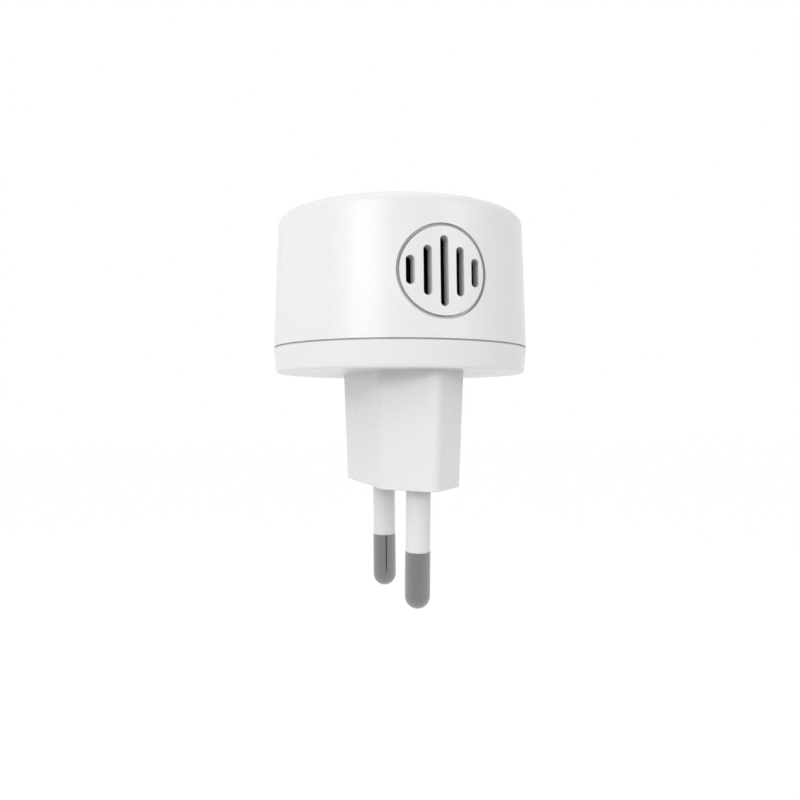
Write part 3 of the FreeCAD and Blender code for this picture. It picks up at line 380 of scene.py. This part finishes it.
def sleeved_can():
    """Electrolytic can: a shrunk dark sleeve with a pale stripe, and a bare top with its vent."""
    made = moulded("can_sleeve", (0.02, 0.025, 0.06), 0.35, depth=0.5 * MICRON, mottling=0.1)
    can_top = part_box("bulk_capacitor")[1][2]
    centre = middle("bulk_capacitor")
    side = made.sum("SUBTRACT", made.along("X"), centre[0])
    stripe = made.sum("MULTIPLY", made.below(side, -2.9 * MM, 0.1 * MM),
                      made.below(made.along("Z"), can_top - 0.6 * MM))
    dark = made.shader.inputs["Base Color"].links[0].from_socket
    made.colour(made.blend(stripe, dark, (0.62, 0.62, 0.6)))
    top = made.sum("MULTIPLY", made.beyond(made.along("Z"), can_top - 0.05 * MM),
                   made.below(made.off_axis("Z", centre), 3.5 * MM, 0.1 * MM))
    made.plate(top, (0.74, 0.75, 0.76), 0.3)
    across = made.sum("ABSOLUTE", side)
    along = made.sum("ABSOLUTE", made.sum("SUBTRACT", made.along("Y"), centre[1]))
    score = made.below(made.sum("MINIMUM", across, along), 0.12 * MM, 0.08 * MM)
    made.relief(made.sum("MULTIPLY", score, top), -90 * MICRON)
    return on_legs(made, BOARD_TOP)


dress(sleeved_can(), "bulk_capacitor")

# Varistor: a disc dipped in blue epoxy that runs a little way down its legs.
varistor_blue = moulded("varistor_blue", (0.02, 0.09, 0.36), 0.38, depth=0.8 * MICRON, mottling=0.1)
varistor_blue.relief(varistor_blue.noise(0.7 * MM, 3.0), 30 * MICRON)
dress(on_legs(varistor_blue, BOARD_TOP + 1.6 * MM), "varistor")


def banded(name, colour, bands, node, axis, body_length, cap_length, roughness):
    """A lacquered body lying on its wire: bands round it, bare wire and caps at its ends."""
    made = moulded(name, colour, roughness, depth=0.6 * MICRON, mottling=0.06)
    away = made.sum("SUBTRACT", made.along(axis), middle(node)["XYZ".index(axis)])
    for start, width, paint in bands:
        under = made.shader.inputs["Base Color"].links[0].from_socket
        ring = made.sum("MULTIPLY", made.beyond(away, start), made.below(away, start + width))
        made.colour(made.blend(ring, under, paint))
    bare = made.beyond(made.sum("ABSOLUTE", away), body_length / 2 - cap_length)
    made.plate(bare)
    return made


# Each band: where it starts along the body, its width and its paint.
BAND_BLACK = (0.01, 0.01, 0.01)
RESISTOR_CODE = (
    (-1.9 * MM, 0.45 * MM, (0.12, 0.03, 0.01)),
    (-0.95 * MM, 0.45 * MM, BAND_BLACK),
    (0.0, 0.45 * MM, BAND_BLACK),
    (1.2 * MM, 0.45 * MM, (0.6, 0.35, 0.02)),
)
CATHODE_BAND = ((1.1 * MM, 0.5 * MM, BAND_BLACK),)
resistor_green = banded(
    "resistor_green", (0.05, 0.2, 0.09), RESISTOR_CODE, "fusible_resistor", "Y",
    body_length=7.5 * MM, cap_length=1.4 * MM, roughness=0.45,
)
dress(resistor_green, "fusible_resistor")
diode_orange = banded(
    "diode_orange", (0.55, 0.12, 0.02), CATHODE_BAND, "zener_diode", "X",
    body_length=4.0 * MM, cap_length=0.0, roughness=0.12,
)
dress(diode_orange, "zener_diode")


def black_moulding(name, node, tinned=None):
    """Black moulding compound with a sandy skin, and bright leads where the tinned mask is 1."""
    made = moulded(name, (0.022, 0.022, 0.023), 0.62, depth=1 * MICRON, mottling=0.1)
    made.relief(made.cells(0.09 * MM), 3 * MICRON)
    if tinned:
        made.plate(tinned(made))
    dress(made, node)


def beside_chip(made):
    """1 in front of and behind the chip's body, where its leads are."""
    away = made.sum("SUBTRACT", made.along("Y"), middle("controller_chip")[1])
    return made.beyond(made.sum("ABSOLUTE", away), 1.96 * MM)


def beside_bridge(made):
    """1 to the left and right of the bridge rectifier's body, where its leads are."""
    away = made.sum("SUBTRACT", made.along("X"), middle("bridge_rectifier")[0])
    return made.beyond(made.sum("ABSOLUTE", away), 2.36 * MM)


def under_transistors(made):
    """1 below the transistors' bodies, where their legs are."""
    return made.below(made.along("Z"), BOARD_TOP + 1.8 * MM)


black_moulding("black_moulding", "transducer_base")
black_moulding("chip_black", "controller_chip", beside_chip)
black_moulding("bridge_black", "bridge_rectifier", beside_bridge)
black_moulding("transistor_black", "driver_transistors", under_transistors)

# Step-up coil: sintered ferrite, and enamelled copper wire laid in turns.
ferrite_grey = moulded("ferrite_grey", (0.055, 0.055, 0.06), 0.55, depth=1.5 * MICRON, mottling=0.2)
ferrite_grey.relief(ferrite_grey.noise(0.12 * MM, 3.0), 8 * MICRON)
dress(on_legs(ferrite_grey, BOARD_TOP), "coil_core")
winding_copper = metal(
    "winding_copper", (0.72, 0.27, 0.09), 0.28, 0.1, Coat_Weight=0.6, Coat_Roughness=0.15,
)
dress(winding_copper, "coil_winding")


def chip_part_finish():
    """Surface-mount parts: pale ceramic bodies with a tinned cap at each end."""
    made = moulded("small_part_tan", (0.45, 0.31, 0.17), 0.5, depth=0.6 * MICRON, mottling=0.12)
    pitch = 2.9 * MM
    steps = made.sum("DIVIDE", made.along("X"), pitch)
    off_centre = made.sum("MULTIPLY", made.sum("SUBTRACT", steps, made.sum("ROUND", steps)), pitch)
    made.plate(made.beyond(made.sum("ABSOLUTE", off_centre), 0.5 * MM))
    return made


dress(chip_part_finish(), "chip_parts")

# Power light: green diffusing resin, and a milky rod that carries its light to the top.
lamp_green = moulded(
    "lamp_green", (0.05, 0.5, 0.12), 0.12, depth=0.05 * MICRON, Transmission_Weight=0.35,
)
dress(on_legs(lamp_green, BOARD_TOP + 1.2 * MM), "indicator_led")
guide_clear = moulded(
    "guide_clear", (0.93, 0.95, 0.93), 0.18, depth=0.05 * MICRON, Transmission_Weight=0.55,
)
dress(guide_clear, "light_guide")

# ---------------------------------------------------------------- wound wire and solder


def read_points(node):
    """Every point of a node's mesh, as rows of x, y, z."""
    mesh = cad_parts[node].data
    flat = np.empty(len(mesh.vertices) * 3)
    mesh.vertices.foreach_get("co", flat)
    return flat.reshape(-1, 3)


def surface(name, points, faces):
    """A smooth-shaded mesh object made from whole arrays of points and faces."""
    mesh = bpy.data.meshes.new(name)
    mesh.from_pydata(points.tolist(), [], faces)
    mesh.shade_smooth()
    made = bpy.data.objects.new(name, mesh)
    bpy.context.scene.collection.objects.link(made)
    return made


def closed_tube(name, rings, loose=1):
    """A tube through rows of section points, each end closed on its middle.

    Several loose tubes with equal numbers of rows may share one mesh. The rows run along each tube
    in turn, and a quad joins a point to the next one round the section and to the same pair in the
    next row.
    """
    rows, sides = rings.shape[0] // loose, rings.shape[1]
    stack = rings.reshape(loose, rows, sides, 3)
    ends = stack[:, (0, -1)].mean(axis=2)
    points = np.concatenate([stack.reshape(-1, 3), ends.reshape(-1, 3)])
    number = np.arange(loose * rows * sides).reshape(loose, rows, sides)
    onward = np.roll(number, -1, axis=2)
    quads = np.stack([number[:, :-1], onward[:, :-1], onward[:, 1:], number[:, 1:]], -1)
    tips = loose * rows * sides + np.arange(loose * 2).reshape(loose, 2)
    start_tip, end_tip = (np.broadcast_to(tips[:, [end]], (loose, sides)) for end in (0, 1))
    first = np.stack([onward[:, 0], number[:, 0], start_tip], -1)
    last = np.stack([number[:, -1], onward[:, -1], end_tip], -1)
    caps = np.concatenate([first.reshape(-1, 3), last.reshape(-1, 3)])
    return surface(name, points, quads.reshape(-1, 4).tolist() + caps.tolist())


def wound_wire(name, node, wire=0.34 * MM, steps=36, sides=10):
    """A close winding of round wire that fills the node's tube.

    The wire's centre follows (R cos t, R sin t, z + w t / 2 pi), a helix whose rise in one turn
    is the wire's own width w. Its round section stands square to the helix: radius w / 2 in the
    plane of the inward direction N and of B, the cross product of the helix's direction and N.
    Each end closes on its middle.
    """
    low, high = (np.array(corner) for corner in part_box(node))
    centre = (low + high) / 2
    ring = (high[0] - low[0] - wire) / 2
    turns = (high[2] - low[2] - wire) / wire
    t = np.linspace(0, math.tau * turns, int(turns * steps) + 1)[:, None]
    rise = wire / math.tau
    x = centre[0] + ring * np.cos(t)
    y = centre[1] + ring * np.sin(t)
    line = np.stack([x, y, low[2] + wire / 2 + rise * t], -1)
    along = np.stack([-ring * np.sin(t), ring * np.cos(t), np.full_like(t, rise)], -1)
    along /= math.hypot(ring, rise)
    inward = np.stack([-np.cos(t), -np.sin(t), np.zeros_like(t)], -1)
    across = np.cross(along, inward)
    s = np.linspace(0, math.tau, sides, endpoint=False)[None, :, None]
    tube = line + wire / 2 * (np.cos(s) * inward + np.sin(s) * across)
    return closed_tube(name, tube)


def feet(node, reach=0.65 * MM):
    """The centre of each leg, midway between the extremes of the lowest points on that leg.

    Lowest points belong to one leg when they are within reach of each other.
    """
    points = read_points(node)
    low = points[points[:, 2] < points[:, 2].min() + 0.01 * MM, :2]
    together = (np.linalg.norm(low[:, None] - low[None], axis=2) < reach)[..., None]
    least = np.where(together, low[None], np.inf).min(axis=1)
    most = np.where(together, low[None], -np.inf).max(axis=1)
    return np.unique(np.round((least + most) / 2, 5), axis=0)


DOME_START = 0.85
DOME_REACH = math.sqrt(0.0235)


def solder_joints(name, nodes, level, drop=0.85 * MM, pad=0.65 * MM, root=0.33 * MM, sides=16):
    """A fillet of solder round every leg, under the board.

    Each is a surface of revolution about its leg. Its radius falls from the pad's to just over the
    leg's by root + (pad - root)(1 - h)^2.5, where h runs from 0 at the board to 1 at the tip. Past
    DOME_START it is also multiplied by sqrt(1 - (h - DOME_START)^2 / DOME_REACH^2), a round tip.
    """
    centres = np.concatenate([feet(node) for node in nodes])
    h = np.array([0.0, 0.08, 0.2, 0.35, 0.5, 0.7, DOME_START, 0.93, 0.98, 1.0])
    fillet = root + (pad - root) * (1 - h) ** 2.5
    dome = np.sqrt(1 - np.clip(h - DOME_START, 0, 1) ** 2 / DOME_REACH**2)
    radius = fillet * dome
    s = np.linspace(0, math.tau, sides, endpoint=False)
    circle = np.stack([np.cos(s), np.sin(s)], -1)
    flat = centres[:, None, None, :] + radius[None, :, None, None] * circle[None, None]
    depth = np.broadcast_to((level - drop * h)[None, :, None, None], flat.shape[:3] + (1,))
    rings = np.concatenate([flat, depth], -1)[:, ::-1]
    return closed_tube(name, rings.reshape(-1, sides, 3), loose=len(centres))


winding = wound_wire("winding_wire", "coil_winding")
winding.data.materials.append(winding_copper.material)
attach(winding, "root")
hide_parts("coil_winding")

LEGGED = (
    "dropper_capacitor", "output_capacitor", "bulk_capacitor", "varistor", "fusible_resistor",
    "zener_diode", "driver_transistors", "coil_core", "indicator_led",
)
solder = solder_joints("solder_joints", LEGGED, board_low[2])
solder.data.materials.append(tinned_metal.material)
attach(solder, "root")

# ---------------------------------------------------------------- woven dust cloth


HEM_START = 0.96


def woven_disc(name, node, threads=22, samples=8, swell=0.018 * MM):
    """A round plain-weave cloth where the node lies, facing along -Y.

    The square u, v from -1 to 1 is carried onto the disc by x = u sqrt(1 - v^2 / 2) and
    z = v sqrt(1 - u^2 / 2). Each face swells and sinks by cos(pi m x) cos(pi m z), with m threads a
    unit, so a warp thread is up where a weft thread is down. Past HEM_START of the radius the swell
    fades to nothing. The back face repeats the front one a thickness behind, and a rim joins the two
    round the edge of the square.
    """
    low, high = (np.array(corner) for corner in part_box(node))
    centre = (low + high) / 2
    radius = (high[0] - low[0]) / 2
    side = threads * samples + 1
    u, v = np.meshgrid(np.linspace(-1, 1, side), np.linspace(-1, 1, side))
    x = radius * u * np.sqrt(1 - v**2 / 2)
    z = radius * v * np.sqrt(1 - u**2 / 2)
    density = threads / 2 / radius
    wave = swell * np.cos(np.pi * density * x) * np.cos(np.pi * density * z)
    fade = 1 - np.clip((np.hypot(x, z) / radius - HEM_START) / (1 - HEM_START), 0, 1)
    half = (high[1] - low[1]) / 2 - swell
    flat = np.stack([centre[0] + x, centre[1] + wave * fade, centre[2] + z], -1).reshape(-1, 3)
    points = np.concatenate([flat - (0, half, 0), flat + (0, half, 0)])
    number = np.arange(side * side).reshape(side, side)
    corners = [number[:-1, :-1], number[:-1, 1:], number[1:, 1:], number[1:, :-1]]
    quads = np.stack(corners, -1).reshape(-1, 4)
    edge = np.concatenate([number[0, :-1], number[:-1, -1], number[-1, :0:-1], number[:0:-1, 0]])
    onward = np.roll(edge, -1)
    behind = side * side
    rim = np.stack([edge, edge + behind, onward + behind, onward], -1)
    return surface(name, points, np.concatenate([quads, quads[:, ::-1] + behind, rim]).tolist())


dust_weave = woven_disc("dust_weave", "dust_cloth")
# Partly painted shade: a real black dust cloth, but coloured near-perfect black with no gloss,
# darker than real cloth, so the grille slots read as deep shade.
cloth_black = Finish("cloth_black", 1.0, Specular_IOR_Level=0.0)
cloth_black.colour(cloth_black.blend(cloth_black.ranged(cloth_black.noise(0.2 * MM, 3.0), 0, 1),
                                     (0.003, 0.003, 0.003), (0.006, 0.006, 0.006)))
cloth_black.relief(cloth_black.noise(0.04 * MM, 3.0), 8 * MICRON)
dust_weave.data.materials.append(cloth_black.material)
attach(dust_weave, "root")
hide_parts("dust_cloth")

# ---------------------------------------------------------------- studio

FLOOR_LEVEL = -0.12
STUDIO_WIDTH = 6.0
FILL_LEVEL = 0.575
GLOW_SHARE = 0.88
GLOW_STRENGTH = 1.06
DRUM_MIDDLE = (0.0, 0.0, 32 * MM)
SENSOR_WIDTH = 36.0
LENS = 34.563
EYE_PLACE = (-40.07 * MM, -122.95 * MM, 12.02 * MM)
EYE_PITCH = 90.802
EYE_BEARING = -18.05

# Each soft light: name, bearing, rise, distance, width, height, radiance, whether gloss shows it.
SOFT_LIGHTS = (
    ("key_left", -65, 15, 0.5, 0.22, 0.13, 1.35, True),
    ("key_middle", -48, 15, 0.5, 0.22, 0.13, 4.4, True),
    ("key_right", -30, 15, 0.5, 0.22, 0.13, 0.7, True),
    ("fill_near", 30, 15, 0.5, 0.22, 0.13, 2.1, True),
    ("fill_far", 50, 15, 0.5, 0.22, 0.13, 0.7, True),
    ("high_left", -60, 45, 0.5, 0.4, 0.2, 1.05, True),
    ("side_left", -110, 15, 0.5, 0.22, 0.13, 0.46, True),
    ("back_left", -140, 15, 0.5, 0.22, 0.13, 0.3, True),
    ("back_right", 140, 15, 0.5, 0.22, 0.13, 0.9, False),
    ("overhead", 0, 89, 0.5, 0.4, 0.4, 0.7, True),
    ("low_left", -90, -22, 0.3, 0.2, 0.08, 0.5, False),
    ("low_right", 60, -22, 0.3, 0.2, 0.08, 0.3, False),
    ("low_front", -18, -22, 0.3, 0.2, 0.08, 0.2, False),
)


def seen_directly(tree):
    """1 for rays that meet the white surround by sight, by reflection or through glass."""
    path = tree.nodes.new("ShaderNodeLightPath")
    total = path.outputs["Is Camera Ray"]
    for kind in ("Is Glossy Ray", "Is Transmission Ray"):
        either = tree.nodes.new("ShaderNodeMath")
        either.operation = "MAXIMUM"
        tree.links.new(total, either.inputs[0])
        tree.links.new(path.outputs[kind], either.inputs[1])
        total = either.outputs[0]
    return total


def white_surround():
    """A white studio: pure white to look at, and a plain soft fill as a light."""
    world = bpy.data.worlds.new("studio")
    bpy.context.scene.world = world
    world.use_nodes = True
    tree = world.node_tree
    fill = tree.nodes["Background"]
    fill.inputs["Color"].default_value = (*WHITE, 1)
    fill.inputs["Strength"].default_value = FILL_LEVEL
    sight = tree.nodes.new("ShaderNodeBackground")
    sight.inputs["Color"].default_value = (*WHITE, 1)
    sight.inputs["Strength"].default_value = 1.0
    mix = tree.nodes.new("ShaderNodeMixShader")
    tree.links.new(seen_directly(tree), mix.inputs["Fac"])
    tree.links.new(fill.outputs[0], mix.inputs[1])
    tree.links.new(sight.outputs[0], mix.inputs[2])
    tree.links.new(mix.outputs[0], tree.nodes["World Output"].inputs["Surface"])


def studio_floor():
    """A pale floor well under the pins. It takes shadows, and glows enough to look white."""
    half = STUDIO_WIDTH / 2
    mesh = bpy.data.meshes.new("studio_floor")
    corners = [(x * half, y * half, FLOOR_LEVEL) for x, y in ((-1, -1), (1, -1), (1, 1), (-1, 1))]
    mesh.from_pydata(corners, [], [(0, 1, 2, 3)])
    floor = bpy.data.objects.new("studio_floor", mesh)
    bpy.context.scene.collection.objects.link(floor)
    made = Finish("studio_floor", 0.9)
    made.colour(made.blend(made.noise(0.2), (0.86, 0.86, 0.86), (0.88, 0.88, 0.88)))
    glow = made.add("ShaderNodeEmission")
    glow.inputs["Strength"].default_value = GLOW_STRENGTH
    share = made.sum("MULTIPLY", seen_directly(made.tree), GLOW_SHARE)
    both = made.add("ShaderNodeMixShader")
    made.join(share, both.inputs["Fac"])
    made.join(made.shader.outputs[0], both.inputs[1])
    made.join(glow.outputs[0], both.inputs[2])
    made.join(both.outputs[0], made.tree.nodes["Material Output"].inputs["Surface"])
    mesh.materials.append(made.material)


def soft_light(name, bearing, rise, away, wide, tall, radiance, mirrored):
    """A flat soft light on the drum; bearing 0 is in front of the grille, radiance 1 plain white."""
    data = bpy.data.lights.new(name, "AREA")
    data.shape = "RECTANGLE"
    data.size = wide
    data.size_y = tall
    data.energy = radiance * math.pi * wide * tall
    lamp = bpy.data.objects.new(name, data)
    bpy.context.scene.collection.objects.link(lamp)
    lamp.visible_glossy = mirrored
    turn, up = math.radians(bearing), math.radians(rise)
    outward = Vector((math.sin(turn) * math.cos(up), -math.cos(turn) * math.cos(up), math.sin(up)))
    lamp.location = Vector(DRUM_MIDDLE) + outward * away
    lamp.rotation_euler = (-outward).to_track_quat("-Z", "Y").to_euler()


def camera():
    """The viewpoint: in front and to the left, level with the plug and looking just above level."""
    data = bpy.data.cameras.new("camera")
    data.sensor_width = SENSOR_WIDTH
    data.lens = LENS
    eye = bpy.data.objects.new("camera", data)
    bpy.context.scene.collection.objects.link(eye)
    eye.location = EYE_PLACE
    eye.rotation_euler = (math.radians(EYE_PITCH), 0.0, math.radians(EYE_BEARING))
    data.clip_start = 5 * MM
    data.clip_end = 20.0
    bpy.context.scene.camera = eye


white_surround()
studio_floor()
for light in SOFT_LIGHTS:
    soft_light(*light)
camera()
bpy.context.scene.view_settings.view_transform = "Standard"
bpy.context.scene.cycles.diffuse_bounces = 1
